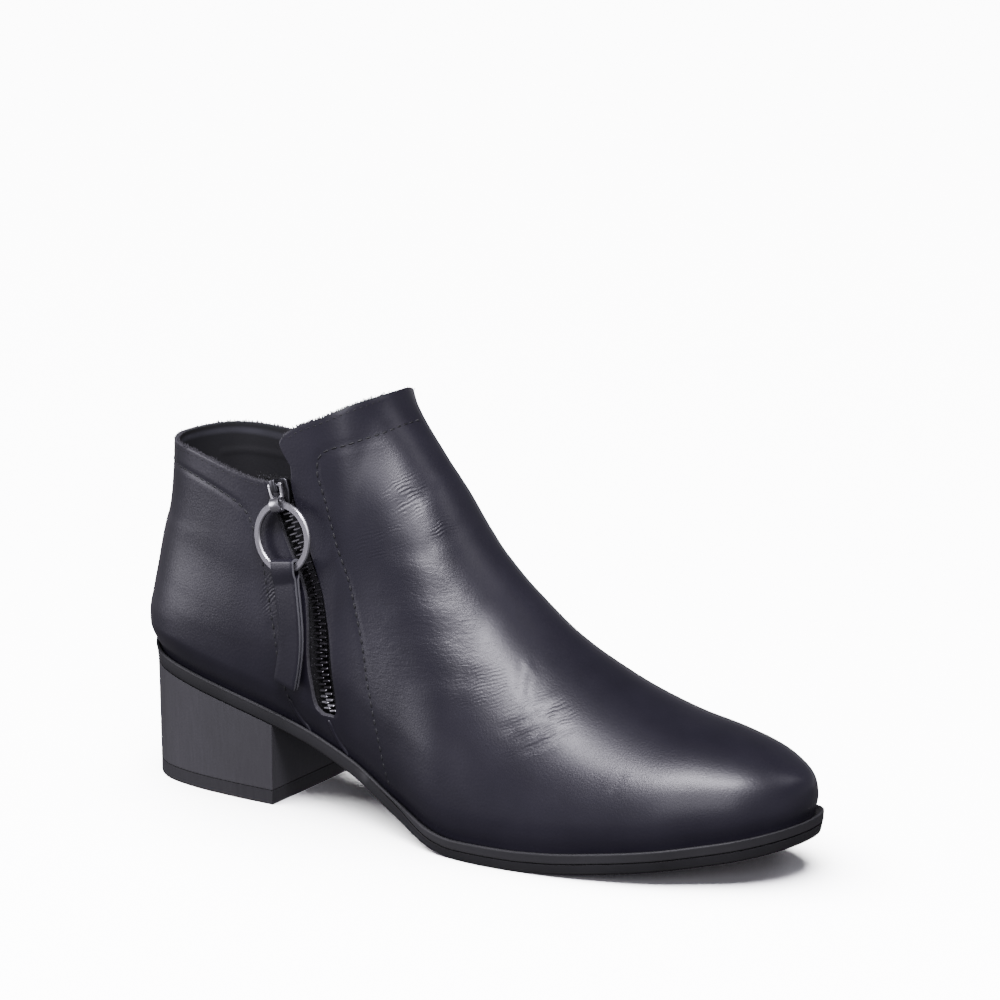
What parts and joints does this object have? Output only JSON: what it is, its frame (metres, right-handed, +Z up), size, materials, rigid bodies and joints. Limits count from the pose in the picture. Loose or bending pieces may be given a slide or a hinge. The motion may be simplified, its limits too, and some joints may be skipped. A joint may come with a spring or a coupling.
{
  "type": "zip ankle boot",
  "caption": "Right women's ankle boot in smooth leather with a side zip, a ring pull with a leather strap, a moulded sole and a block heel.",
  "frame": {"origin": "middle of the boot's box on the floor", "axes": "+X from heel to toe, +Y towards the medial side (the zip is on the -Y, lateral side), +Z up"},
  "size_m": [0.2542, 0.0866, 0.1471],
  "materials": {
    "leather": "black smooth leather with a fine grain, satin",
    "sole_rubber": "charcoal, matte",
    "lift_rubber": "dark charcoal, matte",
    "lining": "black, matte",
    "zip_tape": "black woven tape",
    "zip_metal": "dark metal, satin",
    "pull_metal": "gunmetal with bright edges"
  },
  "bodies": {
    "boot": {"outsole": "sole_rubber", "heel_block": "sole_rubber", "heel_lift": "lift_rubber", "insole": "lining", "upper": "leather", "zip_tape_rear": "zip_tape", "zip_tape_front": "zip_tape", "zip_teeth": "zip_metal", "zip_slider": "zip_metal"},
    "link": {"pull_link": "pull_metal"},
    "pull": {"pull_ring": "pull_metal", "pull_tab": "leather"}
  },
  "joints": [
    {"name": "pull_swing", "type": "hinge", "parent": "boot", "child": "link", "pos_m": [-0.05842, -0.03428, 0.116], "axis": [-0.9475, -0.0452, -0.3165], "range_deg": [0, 120]},
    {"name": "ring_swing", "type": "hinge", "parent": "link", "child": "pull", "pos_m": [-0.05634, -0.03587, 0.11], "axis": [-0.9475, -0.0452, -0.3165], "range_deg": [0, 60]}
  ]
}
